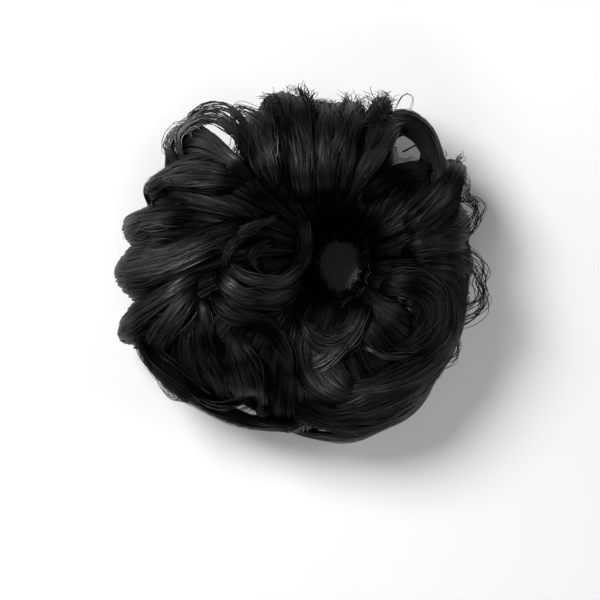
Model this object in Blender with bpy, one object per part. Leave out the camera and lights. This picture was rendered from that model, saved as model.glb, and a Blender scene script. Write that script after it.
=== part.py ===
"""Top-knot hairpiece: a ring of wavy hair locks sewn round a flat elastic loop.

Metres, +Z up. The hairpiece lies on its underside, as it would on a table, with its open middle
upright. The origin is the centre of its bounding box, at the level of the surface it lies on.

Every lock is laid out round the open middle by three numbers:
  angle  degrees round the middle, counter-clockwise from +X, seen from above
  way    place round the ring's section: 0 at the middle's wall, 0.5 on the crest,
         1 at the outer rim, 1.5 on the underside
  lift   millimetres out from the hair pad that fills the ring
"""

import math
from collections import namedtuple

import bmesh
import bpy
from mathutils import Vector

MM = 0.001

# Driving dimensions, in millimetres
PAD_WIDTH = 167.0  # the hair pad's oval, left to right
PAD_DEPTH = 160.0
PAD_CENTRE = (-20.0, -1.0)  # the oval's centre, from the centre of the open middle
PAD_LEVEL = 27.5  # height of the pad's widest line
PAD_RISE = 33.0  # pad above that line
PAD_DROP = 23.5  # pad below that line
MIDDLE_WIDTH = 29.0  # the opening through the pad, left to right
MIDDLE_DEPTH = 38.0
UNDERSIDE_SQUARENESS = 0.72  # 1 is a round underside, less is flatter

BAND_INNER = 20.0  # elastic loop, inner radius
BAND_OUTER = 26.5
BAND_CHAMFER = 0.8
BAND_GAP = 0.35  # between the elastic loop and the locks above it

LOCK_GAP = 0.4  # between locks that lie side by side
LOCK_SEAT = 0.8  # lift of a wrapping lock's inner face
ROOT_THICK = 1.9  # a wrapping lock at the middle's wall
UNDER_THICK = 3.3  # a wrapping lock on the underside
ROOT_WAY = -0.3
TIP_WAY = 1.57
EDGE_SHARE = 0.34  # a lock's thickness at its sides, as a share of its thickness
TOP_SEAT = 0.5  # clearance of a top lock over the wrapping locks
TOP_SPREAD = 4.0  # how far to each side a top lock's seat looks for the highest hair

WRAP_RINGS = 14
PAD_SEGMENTS = 56
BAND_SEGMENTS = 40
BAND_TOP_STEPS = 4

Dent = namedtuple("Dent", "angle deep half_angle")
# Places where the pad's rim is drawn in, so that the loops outside it stand clear
DENTS = [
    Dent(angle=61, deep=9, half_angle=12),
    Dent(angle=134, deep=8, half_angle=12),
    Dent(angle=236, deep=7, half_angle=10),
]

Wrap = namedtuple("Wrap", "name root_angle rim_angle crest bulge")
# Locks that wrap the ring from the middle's wall over the crest to the underside. Each row gives
# the lock's clockwise side at the root and at the rim, and its thickness on the crest and the rim.
WRAPS = [
    Wrap("lock_right", root_angle=-22, rim_angle=-9, crest=5.5, bulge=4),
    Wrap("lock_right_upper", root_angle=0, rim_angle=9, crest=6.5, bulge=5.5),
    Wrap("lock_right_shoulder", root_angle=22, rim_angle=28, crest=5.5, bulge=10.5),
    Wrap("lock_top_right", root_angle=42, rim_angle=48, crest=4, bulge=4),
    Wrap("lock_crown_right", root_angle=60, rim_angle=69, crest=5.5, bulge=10),
    Wrap("lock_crown_middle", root_angle=79, rim_angle=80, crest=7, bulge=6),
    Wrap("lock_crown_left", root_angle=98, rim_angle=93, crest=5, bulge=3.5),
    Wrap("lock_fan_inner", root_angle=116, rim_angle=105, crest=7, bulge=7),
    Wrap("lock_fan_outer", root_angle=128, rim_angle=118, crest=5, bulge=4),
    Wrap("lock_fan_side", root_angle=135, rim_angle=135, crest=6, bulge=5),
    Wrap("lock_side_first", root_angle=142, rim_angle=152, crest=7.5, bulge=4.5),
    Wrap("lock_side_second", root_angle=150, rim_angle=163.5, crest=5.5, bulge=6.5),
    Wrap("lock_side_third", root_angle=159, rim_angle=175.5, crest=6, bulge=8),
    Wrap("lock_side_fourth", root_angle=170, rim_angle=191, crest=5, bulge=13),
    Wrap("lock_lower_left", root_angle=183, rim_angle=205, crest=6.5, bulge=11),
    Wrap("lock_lower_sweep", root_angle=199, rim_angle=224, crest=5.5, bulge=5.5),
    Wrap("lock_bottom_left", root_angle=219, rim_angle=246, crest=6.5, bulge=6.5),
    Wrap("lock_bottom_middle", root_angle=243, rim_angle=265, crest=5, bulge=13),
    Wrap("lock_bottom_right", root_angle=268, rim_angle=286, crest=5.5, bulge=12),
    Wrap("lock_lower_right", root_angle=294, rim_angle=308, crest=5, bulge=8.5),
    Wrap("lock_right_lower", root_angle=318, rim_angle=330, crest=5.5, bulge=4.5),
]

Curl = namedtuple("Curl", "name centre_x centre_y radius_x radius_y start end width thick rings")
# Curled locks on top of the ring: arcs of ovals seen from above, from the middle's centre
CURLS = [
    Curl("curl_left", -38, 2, 17, 14, start=72, end=-200, width=11, thick=6.5, rings=17),
    Curl("curl_left_outer", -38, -1, 30, 28, start=194, end=300, width=14, thick=6, rings=11),
    Curl("curl_bottom", -5, -31, 12.5, 15, start=188, end=352, width=10, thick=5.5, rings=12),
    Curl("curl_lower_right", 31, -33, 18.5, 22, start=122, end=-122, width=15.5, thick=7, rings=16),
]

Sweep = namedtuple("Sweep", "name width thick level rings points")
# Locks drawn from above through their points. Those with a high level stand clear of the rim for
# part of their length, with their underside at that level.
SWEEPS = [
    Sweep("sweep_left", width=14, thick=6, level=28, rings=13, points=[
        (-24, 27), (-40, 24), (-57, 16), (-72, 7), (-87, 0), (-100, -5)]),
    Sweep("sweep_side", width=14, thick=5.5, level=28, rings=10, points=[
        (-42, 36), (-58, 37), (-76, 38), (-94, 36)]),
    Sweep("sweep_lower_left", width=14, thick=5.5, level=28, rings=10, points=[
        (-75, -14), (-82, -22), (-91, -31), (-101, -39)]),
    Sweep("sweep_petal", width=17, thick=6, level=28, rings=10, points=[
        (-42, -38), (-51, -49), (-53, -61), (-47, -74)]),
    Sweep("sweep_crown_left", width=16, thick=5.5, level=28, rings=10, points=[
        (-20, 31), (-28, 47), (-33, 62), (-37, 77)]),
    Sweep("sweep_crown", width=14, thick=6, level=28, rings=10, points=[
        (-6, 27), (-8, 44), (-8, 60), (-5, 75)]),
    Sweep("sweep_right", width=14, thick=6, level=28, rings=11, points=[
        (22, -1), (36, 6), (48, 14), (56, 24), (58, 35)]),
    Sweep("loop_top_right", width=13, thick=7, level=36, rings=18, points=[
        (5, 29), (15, 52), (25, 66), (35, 71), (43, 65), (46, 53), (42, 40), (34, 28)]),
    Sweep("loop_top_left", width=10, thick=6, level=34, rings=15, points=[
        (-46, 50), (-51, 63), (-58, 70.5), (-67, 73.5), (-77, 69.5), (-85, 60), (-88, 49)]),
    Sweep("loop_right_upper", width=5, thick=3, level=30, rings=9, points=[
        (56, 43), (65, 38.5), (71, 27), (68, 13)]),
    Sweep("loop_right_lower", width=5, thick=3, level=30, rings=10, points=[
        (68, 6), (73.5, -3), (75, -14), (72, -25), (64, -34)]),
    Sweep("loop_bottom_left", width=6, thick=4, level=26, rings=11, points=[
        (-91, -51), (-80, -64), (-65, -75), (-50, -81), (-38, -80)]),
]

HAIR_BLACK = (0.012, 0.011, 0.011, 1.0)
INNER_BLACK = (0.007, 0.007, 0.007, 1.0)
ELASTIC_BLACK = (0.018, 0.018, 0.019, 1.0)


def smoothstep(start, end, value):
    share = min(max((value - start) / (end - start), 0.0), 1.0)
    return share * share * (3 - 2 * share)


def ellipse_radius(angle, half_x, half_y):
    """Radius of an ellipse about its own centre."""
    return half_x * half_y / math.hypot(half_y * math.cos(angle), half_x * math.sin(angle))


def turn_between(angle, degrees):
    """Smallest turn between an angle in radians and one in degrees, in degrees."""
    return abs((math.degrees(angle) - degrees + 180) % 360 - 180)


def rim_radius(angle):
    """Pad's outer radius from the middle's centre: a ray out to the pad's oval, less the dents."""
    half_x, half_y = PAD_WIDTH / 2, PAD_DEPTH / 2
    across = Vector((math.cos(angle) / half_x, math.sin(angle) / half_y))
    centre = Vector((PAD_CENTRE[0] / half_x, PAD_CENTRE[1] / half_y))
    along = across.dot(centre)
    square = across.length_squared
    radius = (along + math.sqrt(along * along - square * (centre.length_squared - 1))) / square
    for dent in DENTS:
        radius -= dent.deep * math.exp(-((turn_between(angle, dent.angle) / dent.half_angle) ** 2))
    return radius


def middle_radius(angle):
    return ellipse_radius(angle, MIDDLE_WIDTH / 2, MIDDLE_DEPTH / 2)


def power(value, exponent):
    return math.copysign(abs(value) ** exponent, value)


def place(angle, way, lift):
    """Point at this angle and way, this far out from the pad, in metres from the middle's centre."""
    inner, outer = middle_radius(angle), rim_radius(angle)
    across, up = math.cos(math.pi * way), math.sin(math.pi * way)
    squareness = 1.0 if up > 0 else UNDERSIDE_SQUARENESS
    rise = PAD_RISE if up > 0 else PAD_DROP
    radius = (inner + outer) / 2 - ((outer - inner) / 2 + lift) * power(across, squareness)
    height = PAD_LEVEL + (rise + lift) * power(up, squareness)
    return Vector((radius * math.cos(angle), radius * math.sin(angle), height)) * MM


def wrap_thickness(wrap, way):
    """Thickness of a wrapping lock: thin at the root, full on the crest and rim, thin underneath."""
    top = ROOT_THICK + (wrap.crest - ROOT_THICK) * smoothstep(-0.05, 0.45, way)
    full = top + (wrap.bulge - wrap.crest) * smoothstep(0.55, 0.98, way)
    return full + (UNDER_THICK - full) * smoothstep(1.0, 1.38, way)


def crown(across):
    """Share of a lock's thickness at this place across it, from -1 to 1."""
    return EDGE_SHARE + (1 - EDGE_SHARE) * math.sqrt(max(0.0, 1 - across * across))


def loft(name, rings, material, closed=False):
    """Solid through rings of points, capped at both ends unless it closes on itself."""
    mesh = bmesh.new()
    rows = [[mesh.verts.new(point) for point in ring] for ring in rings]
    pairs = list(zip(rows, rows[1:]))
    if closed:
        pairs.append((rows[-1], rows[0]))
    for first, second in pairs:
        count = len(first)
        for i in range(count):
            j = (i + 1) % count
            mesh.faces.new((first[i], first[j], second[j], second[i]))
    if not closed:
        mesh.faces.new(rows[0])
        mesh.faces.new(rows[-1])
    bmesh.ops.triangulate(mesh, faces=mesh.faces[:])
    bmesh.ops.recalc_face_normals(mesh, faces=mesh.faces[:])
    data = bpy.data.meshes.new(name)
    mesh.to_mesh(data)
    mesh.free()
    data.materials.append(material)
    data.shade_smooth()
    data.set_sharp_from_angle(angle=math.radians(55))
    return add_object(name, data)


def add_object(name, data):
    obj = bpy.data.objects.new(name, data)
    hairpiece.objects.link(obj)
    obj.parent = frame
    return obj


def make_material(name, colour, roughness, metallic=0.0):
    material = bpy.data.materials.new(name)
    material.use_nodes = True
    shader = material.node_tree.nodes["Principled BSDF"]
    shader.inputs["Base Color"].default_value = colour
    shader.inputs["Roughness"].default_value = roughness
    shader.inputs["Metallic"].default_value = metallic
    material.diffuse_color = colour
    return material


def lock_underside(angle, radius):
    """Height of the locks' underside at this radius, between the middle's wall and mid-ring."""
    low, high = -0.5, 0.0
    for _ in range(24):
        way = (low + high) / 2
        point = place(angle, way, LOCK_SEAT + ROOT_THICK)
        if point.xy.length / MM > radius:
            low = way
        else:
            high = way
    return point.z / MM


def make_elastic_band(material):
    """Elastic loop under the locks' roots: flat underneath, its top following the hair."""
    rings = []
    for segment in range(BAND_SEGMENTS):
        angle = 2 * math.pi * segment / BAND_SEGMENTS
        section = [(BAND_INNER, BAND_CHAMFER), (BAND_INNER + BAND_CHAMFER, 0)]
        section += [(BAND_OUTER - BAND_CHAMFER, 0), (BAND_OUTER, BAND_CHAMFER)]
        for step in range(BAND_TOP_STEPS + 1):
            radius = BAND_OUTER + (BAND_INNER - BAND_OUTER) * step / BAND_TOP_STEPS
            section.append((radius, lock_underside(angle, radius) - BAND_GAP))
        around = (math.cos(angle), math.sin(angle))
        rings.append([Vector((r * around[0], r * around[1], z)) * MM for r, z in section])
    return loft("elastic_band", rings, material, closed=True)


def make_pad(material):
    """Closed ring of hair that the locks lie on, with the same stations as the locks."""
    step = (TIP_WAY - ROOT_WAY) / (WRAP_RINGS - 1)
    ways = [ROOT_WAY + step * i for i in range(WRAP_RINGS)]
    rings = []
    for segment in range(PAD_SEGMENTS):
        angle = 2 * math.pi * segment / PAD_SEGMENTS
        rings.append([place(angle, way, 0) for way in ways])
    return loft("hair_pad", rings, material, closed=True)


def wrap_sides(index, way):
    """Middle and half width of a wrapping lock at this way, in radians, sides touching."""
    turn = 360 if index == len(WRAPS) - 1 else 0
    wrap, following = WRAPS[index], WRAPS[(index + 1) % len(WRAPS)]
    share = smoothstep(0.0, 0.85, way)
    low = wrap.root_angle + (wrap.rim_angle - wrap.root_angle) * share
    high = following.root_angle + (following.rim_angle - following.root_angle) * share + turn
    return math.radians(low + high) / 2, math.radians(high - low) / 2


def make_wrap(index, material):
    """One wrapping lock, between its own clockwise side and that of the lock that follows it."""
    spread = [-1, -0.84, -0.32, 0.32, 0.84, 1]
    seat = [1, 0.5, 0, -0.5, -1]
    rings = []
    for i in range(WRAP_RINGS):
        way = ROOT_WAY + (TIP_WAY - ROOT_WAY) * i / (WRAP_RINGS - 1)
        middle, half = wrap_sides(index, way)
        half -= LOCK_GAP / 2 / (place(middle, way, 0).xy.length / MM)
        thick = wrap_thickness(WRAPS[index], way)
        ring = [place(middle + half * v, way, LOCK_SEAT + thick * crown(v)) for v in spread]
        ring += [place(middle + half * v, way, LOCK_SEAT) for v in seat]
        rings.append(ring)
    return loft(WRAPS[index].name, rings, material)


def hair_lift(angle, way):
    """Lift of the wrapping locks' outer face at this place."""
    for index, wrap in enumerate(WRAPS):
        middle, half = wrap_sides(index, way)
        beside = math.remainder(angle - middle, 2 * math.pi)
        if abs(beside) <= half:
            return LOCK_SEAT + wrap_thickness(wrap, way) * crown(beside / half)
    return LOCK_SEAT


def hair_height(x, y, level):
    """Height to lay a top lock at, over the wrapping locks near x, y, or its level off the ring."""
    angle, radius = math.atan2(y, x), math.hypot(x, y)
    height = level
    for beside in (-TOP_SPREAD, 0, TOP_SPREAD):
        at = angle + beside / radius
        low, high = 0.0, 1.0
        for _ in range(12):
            way = (low + high) / 2
            point = place(at, way, hair_lift(at, way))
            if point.xy.length / MM < radius:
                low = way
            else:
                high = way
        if low > 0 and high < 1:
            height = max(height, point.z / MM)
    return height + TOP_SEAT


def swell(share):
    """Fullness along a top lock: narrow, rounded ends and full between them."""
    return 0.35 + 0.65 * math.sin(math.pi * min(max(share, 0.0), 1.0)) ** 0.5


def make_top_lock(name, path, level, width, thick, material):
    """Lock laid along a path drawn from above, on the hair or at its level."""
    over = [(-1, 0.3), (-0.7, 0.8), (0, 1.0), (0.7, 0.8), (1, 0.3)]
    under = [(1, 0.0), (0, 0.0), (-1, 0.0)]
    rings = []
    for i, point in enumerate(path):
        along = (path[min(i + 1, len(path) - 1)] - path[max(i - 1, 0)]).normalized()
        across = Vector((-along.y, along.x))
        full = swell(i / (len(path) - 1))
        ring = []
        for beside, above in over + under:
            x, y = point + across * beside * width / 2 * full
            height = hair_height(x, y, level) + above * thick * full
            ring.append(Vector((x, y, height)) * MM)
        rings.append(ring)
    return loft(name, rings, material)


def curl_path(curl):
    path = []
    for i in range(curl.rings):
        at = math.radians(curl.start + (curl.end - curl.start) * i / (curl.rings - 1))
        path.append(Vector((
            curl.centre_x + curl.radius_x * math.cos(at),
            curl.centre_y + curl.radius_y * math.sin(at),
        )))
    return path


def sweep_path(sweep):
    """Smooth path through a sweep's points, evenly spread over them."""
    points = [Vector(point) for point in sweep.points]
    points = [points[0] * 2 - points[1]] + points + [points[-1] * 2 - points[-2]]
    path = []
    for i in range(sweep.rings):
        place_on = i / (sweep.rings - 1) * (len(points) - 3)
        span = min(int(place_on), len(points) - 4)
        a, b, c, d = points[span : span + 4]
        t = place_on - span
        curve = (c - a) * t + (a * 2 - b * 5 + c * 4 - d) * t**2 + (b * 3 - a - c * 3 + d) * t**3
        path.append(b + curve / 2)
    return path


def set_origin():
    """Moves the whole hairpiece so that the origin is at its box's centre, on the surface it lies on."""
    bpy.context.view_layer.update()
    graph = bpy.context.evaluated_depsgraph_get()
    corners = [
        obj.matrix_world @ Vector(corner)
        for obj in hairpiece.objects
        if obj.type == "MESH"
        for corner in obj.evaluated_get(graph).bound_box
    ]
    low = [min(corner[axis] for corner in corners) for axis in range(3)]
    high = [max(corner[axis] for corner in corners) for axis in range(3)]
    frame.location = (-(low[0] + high[0]) / 2, -(low[1] + high[1]) / 2, -low[2])


for old in list(bpy.data.objects):
    bpy.data.objects.remove(old)
hairpiece = bpy.data.collections.new("top_knot_hairpiece")
bpy.context.scene.collection.children.link(hairpiece)
frame = bpy.data.objects.new("middle_centre", None)
hairpiece.objects.link(frame)

hair = make_material("hair", HAIR_BLACK, roughness=0.42)
inner_hair = make_material("inner_hair", INNER_BLACK, roughness=0.6)
elastic = make_material("elastic", ELASTIC_BLACK, roughness=0.8)

make_elastic_band(elastic)
make_pad(inner_hair)
for index in range(len(WRAPS)):
    make_wrap(index, hair)
for curl in CURLS:
    make_top_lock(curl.name, curl_path(curl), PAD_LEVEL, curl.width, curl.thick, hair)
for sweep in SWEEPS:
    make_top_lock(sweep.name, sweep_path(sweep), sweep.level, sweep.width, sweep.thick, hair)
set_origin()
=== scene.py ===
"""Top-knot hairpiece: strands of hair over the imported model, its elastic, floor, light and camera.

The hair is laid out in millimetres from the centre of the open middle, by the same three numbers as
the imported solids: angle round the middle, way round the ring's section (0 at the middle's wall, 0.5
on the crest, 1 at the rim, 1.5 underneath) and lift out from the inner hair.
"""

import math

import bpy
import numpy as np
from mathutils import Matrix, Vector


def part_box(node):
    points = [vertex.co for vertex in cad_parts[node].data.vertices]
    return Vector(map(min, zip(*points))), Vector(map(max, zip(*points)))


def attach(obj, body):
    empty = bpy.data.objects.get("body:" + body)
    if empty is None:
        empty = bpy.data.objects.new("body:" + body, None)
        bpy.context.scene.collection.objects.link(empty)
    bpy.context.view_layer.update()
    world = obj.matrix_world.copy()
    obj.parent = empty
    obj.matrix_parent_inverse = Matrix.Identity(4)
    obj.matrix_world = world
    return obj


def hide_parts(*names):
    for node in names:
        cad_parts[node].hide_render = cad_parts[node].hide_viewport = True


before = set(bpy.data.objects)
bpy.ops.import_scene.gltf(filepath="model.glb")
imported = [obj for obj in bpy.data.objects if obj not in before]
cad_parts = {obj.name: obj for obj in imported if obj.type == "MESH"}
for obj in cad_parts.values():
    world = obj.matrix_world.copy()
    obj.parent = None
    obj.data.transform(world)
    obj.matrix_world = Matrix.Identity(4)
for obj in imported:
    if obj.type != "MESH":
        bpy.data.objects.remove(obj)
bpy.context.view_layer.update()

MM = 0.001
band_low, band_high = (np.array(corner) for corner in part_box("elastic_band"))
MIDDLE = (band_low + band_high) / 2 / MM * (1, 1, 0)  # centre of the open middle in the frame

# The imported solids' own shape, repeated here
PAD_WIDTH, PAD_DEPTH, PAD_CENTRE = 167.0, 160.0, (-20.0, -1.0)
PAD_LEVEL, PAD_RISE, PAD_DROP = 27.5, 33.0, 23.5
MIDDLE_WIDTH, MIDDLE_DEPTH = 29.0, 38.0
UNDERSIDE_SQUARENESS = 0.72
BAND_INNER, BAND_OUTER = 20.0, 26.5
LOCK_SEAT, ROOT_THICK, UNDER_THICK = 0.8, 1.9, 3.3
EDGE_SHARE = 0.34
DENTS = [(61, 9, 12), (134, 8, 12), (236, 7, 10)]  # angle, deep, half angle
# Where the rim is drawn in, or filled out by a number below 0: angle, deep, half angle
NOTCHES = [
    (132, 12, 4.5), (61, 3, 4), (147, 2.5, 3), (163.5, 3, 2.5), (175.5, -1.5, 2.5),
    (191, -1.5, 3), (205.5, -3, 3.5), (238, 9, 2.5), (38, -3.5, 9), (72, -8, 7), (105, -2.5, 6),
    (170, -2, 5), (184, -1.5, 5), (199, -1.5, 4.5), (246, -3, 3), (265, -3, 3.5),
    (286, -5, 3.5), (290, -3.5, 5), (304, 2, 4), (309, -3, 3), (322, 1.5, 4), (201, -2.5, 3),
]
# name, root angle, rim angle, thickness on the crest and at the rim
WRAPS = [
    ("lock_right", -22, -9, 5.5, 4),
    ("lock_right_upper", 0, 9, 6.5, 5.5),
    ("lock_right_shoulder", 22, 28, 5.5, 10.5),
    ("lock_top_right", 42, 48, 4, 4),
    ("lock_crown_right", 60, 69, 5.5, 10),
    ("lock_crown_middle", 79, 80, 7, 6),
    ("lock_crown_left", 98, 93, 5, 3.5),
    ("lock_fan_inner", 116, 105, 7, 7),
    ("lock_fan_outer", 128, 118, 5, 4),
    ("lock_fan_side", 135, 135, 6, 5),
    ("lock_side_first", 142, 152, 7.5, 4.5),
    ("lock_side_second", 150, 163.5, 5.5, 6.5),
    ("lock_side_third", 159, 175.5, 6, 8),
    ("lock_side_fourth", 170, 191, 5, 13),
    ("lock_lower_left", 183, 205, 6.5, 11),
    ("lock_lower_sweep", 199, 224, 5.5, 5.5),
    ("lock_bottom_left", 219, 246, 6.5, 6.5),
    ("lock_bottom_middle", 243, 265, 5, 13),
    ("lock_bottom_right", 268, 286, 5.5, 12),
    ("lock_lower_right", 294, 308, 5, 8.5),
    ("lock_right_lower", 318, 330, 5.5, 4.5),
]

# Locks laid over the wrapping ones: the node they belong to, their height over the hair below, if
# they go on over the rim, their share of light painted into their colour (painted light or shade),
# strands, and points (x, y, width)
TOP_LOCKS = [
    ("sweep_crown_left", 4.0, True, 0.9, 130, [
        (-22, 24, 5), (-31, 35, 9), (-36, 47.5, 14), (-39.4, 61.6, 17),
        (-40.4, 75.8, 17), (-39.4, 82, 15)]),
    ("sweep_crown_left", 5.5, True, 1.15, 130, [
        (-9, 17, 5), (-15, 26, 8), (-18.5, 37, 12), (-19.2, 51.5, 15),
        (-21.2, 66.7, 15), (-23, 79, 14)]),
    ("sweep_crown", 4.5, True, 1.15, 100, [
        (-4, 18, 4), (-7, 28, 7), (-8, 40, 11), (-7, 54, 12), (-6, 69, 13), (-5, 79, 12)]),
    ("sweep_crown", 3.5, True, 0.8, 80, [
        (1, 18, 4), (2, 29, 6), (3, 41, 8), (5, 56.6, 10), (7, 69, 11), (9, 77, 10)]),
    ("sweep_crown", 3.0, True, 0.7, 80, [
        (5, 18, 4), (7, 33, 6), (12, 49, 8), (16, 61.6, 10), (20, 72, 11), (23, 79, 10)]),
    ("sweep_crown", 5.5, True, 1.0, 45, [
        (-13, 24, 3), (-11, 38, 4), (-4, 52, 5), (2, 66, 5), (5, 78, 5)]),
    ("sweep_right", 2.0, False, 0.6, 90, [
        (55.6, 30, 5), (61, 14, 9), (62.1, -4, 10), (60.6, -19, 10), (58, -34, 9), (52, -47, 5)]),
    ("sweep_right", 3.0, True, 0.7, 90, [
        (24, -3, 5), (38, -1, 10), (52, -2, 14), (64, -5, 16)]),
    ("sweep_right", 4.0, True, 0.95, 150, [
        (20, 6, 8), (32.8, 13.6, 15), (45.5, 23.7, 20), (55.6, 35.4, 20), (60, 44, 15)]),
    ("sweep_right", 5.0, True, 1.0, 110, [
        (20, 0, 4), (35.4, 6, 10), (50.5, 8.6, 14), (62, 11, 14)]),
    ("sweep_side", 6.5, True, 1.05, 210, [
        (-33, 33, 6), (-48, 42, 14), (-66, 46.5, 26), (-82, 45.5, 23), (-93, 40, 15)]),
    ("sweep_side", 4.5, True, 0.95, 110, [
        (-62, 21, 6), (-78, 22, 13), (-94, 21.5, 15), (-104, 19.5, 15)]),
    ("sweep_left", 7.0, True, 0.95, 200, [
        (-25, 22, 5), (-42, 19, 9), (-60, 10.6, 13), (-79, 3, 17), (-96, -2, 20), (-106, -4, 18)]),
    ("sweep_lower_left", 4.5, True, 0.9, 110, [
        (-60, 4, 5), (-72, -6.6, 9), (-84, -15.7, 11), (-96, -23, 12), (-104, -29, 12)]),
    ("sweep_lower_left", 6.0, True, 1.15, 130, [
        (-65, -1, 5), (-73, -13.6, 9), (-80, -25, 12), (-87, -35, 13), (-92, -43, 12),
        (-95, -48, 10)]),
    ("sweep_petal", 3.5, True, 0.6, 190, [
        (-62, -10, 6), (-71, -28, 17), (-72, -46, 27), (-67, -60, 28), (-62, -71, 20)]),
    ("sweep_petal", 2.4, False, 1.2, 44, [
        (-70, -12, 2), (-68.5, -22, 6), (-66.5, -31, 7), (-63.5, -42, 6), (-60, -54, 3)]),
    ("sweep_petal", 6.0, True, 0.9, 170, [
        (-60, -24, 2), (-55, -38, 12), (-48.5, -52, 21), (-43.4, -66, 19), (-40, -76, 12)]),
    ("curl_left", 7.0, False, 1.0, 170, [
        (-22, 27, 5), (-18, 16, 7), (-18, 3.5, 7.5), (-22, -5, 7.5), (-30, -10.6, 7),
        (-39, -10.6, 7), (-48.5, -6.6, 6), (-55, 1, 5), (-56.6, 9, 3)]),
    ("curl_left", 6.5, False, 1.1, 60, [
        (-21, 24, 3), (-33, 20.5, 4), (-45, 16, 4.5), (-54, 8, 4.5), (-57, -1, 4), (-53, -9, 3)]),
    ("curl_left", 3.5, False, 0.7, 50, [
        (-26, 12, 3), (-34, 9, 5), (-42, 5, 5), (-44, -1, 5), (-38, -4, 5), (-31, -1, 3)]),
    ("curl_left_outer", 5.5, False, 0.95, 120, [
        (-63, 4, 4), (-59, -8, 9), (-50, -16, 10.5), (-39, -19.6, 10), (-29, -17.6, 9),
        (-18, -10, 5), (-12, -4, 3)]),
    ("curl_left_outer", 5.0, False, 0.95, 130, [
        (-66, -4, 3), (-61.6, -17, 8), (-52.5, -25, 9), (-41.4, -29.3, 8.5), (-33, -34, 8),
        (-27, -43, 8), (-25, -56, 7), (-27, -70, 4)]),
    ("curl_bottom", 3.0, False, 0.9, 170, [
        (0, -16, 6), (-8, -28, 16), (-12, -42, 22), (-8, -56, 24), (4, -66, 22), (18, -70, 10)]),
    ("curl_bottom", 5.0, False, 1.05, 130, [
        (12, -12, 4), (10, -24, 10), (4, -35, 12), (-5, -40.4, 12), (-14, -37, 9), (-19, -28, 6),
        (-18.7, -18, 3)]),
    ("curl_bottom", 4.5, False, 0.95, 80, [
        (10, -32, 4), (-2.5, -44.4, 8), (-14, -51, 7), (-23, -53, 2)]),
    ("curl_lower_right", 1.5, False, 1.2, 120, [
        (64, -44, 10), (54, -66, 18), (36, -82, 24), (14, -94, 26), (-8, -98, 25), (-28, -95, 20),
        (-48, -90, 12)]),
    ("curl_lower_right", 3.0, False, 0.9, 90, [
        (-34, -62, 6), (-18, -74, 15), (0, -81, 19), (18, -81, 19), (34, -74, 18), (48, -60, 12),
        (56, -46, 6)]),
    ("curl_lower_right", 2.5, False, 0.8, 150, [
        (16, -6, 8), (36, -8, 24), (52, -20, 32), (52, -42, 32), (36, -60, 32), (14, -72, 30),
        (-8, -77, 24), (-26, -74, 14)]),
    ("curl_lower_right", 3.5, False, 0.85, 165, [
        (60, -36, 5), (51, -52, 12), (37, -65, 15), (20, -73, 17), (4, -77, 17), (-10, -78, 15),
        (-24, -76, 8)]),
    ("curl_lower_right", 4.5, False, 0.95, 200, [
        (20, -4, 5), (38, -4, 12), (52, -11, 14), (58, -24, 15), (55, -39, 17), (45, -51, 19),
        (30, -59, 21), (13, -64, 21), (-2, -63, 16), (-14, -56, 4)]),
    ("curl_lower_right", 6.0, False, 0.9, 180, [
        (10, -14, 5), (22.7, -11, 13), (36.4, -11, 17), (46, -18, 19), (47, -29, 19),
        (40, -39, 16), (28, -44, 10), (16, -41, 3)]),
    ("curl_lower_right", 4.0, False, 0.5, 60, [
        (26, -22, 3), (33, -20, 7), (38, -25, 8), (36, -32, 7), (29, -33, 3)]),
    ("curl_lower_right", 8.0, False, 1.35, 18, [
        (6, -37, 1), (15, -44, 2), (24, -47.3, 3), (33, -47.5, 2.5), (43, -44, 1)]),
]
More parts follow.
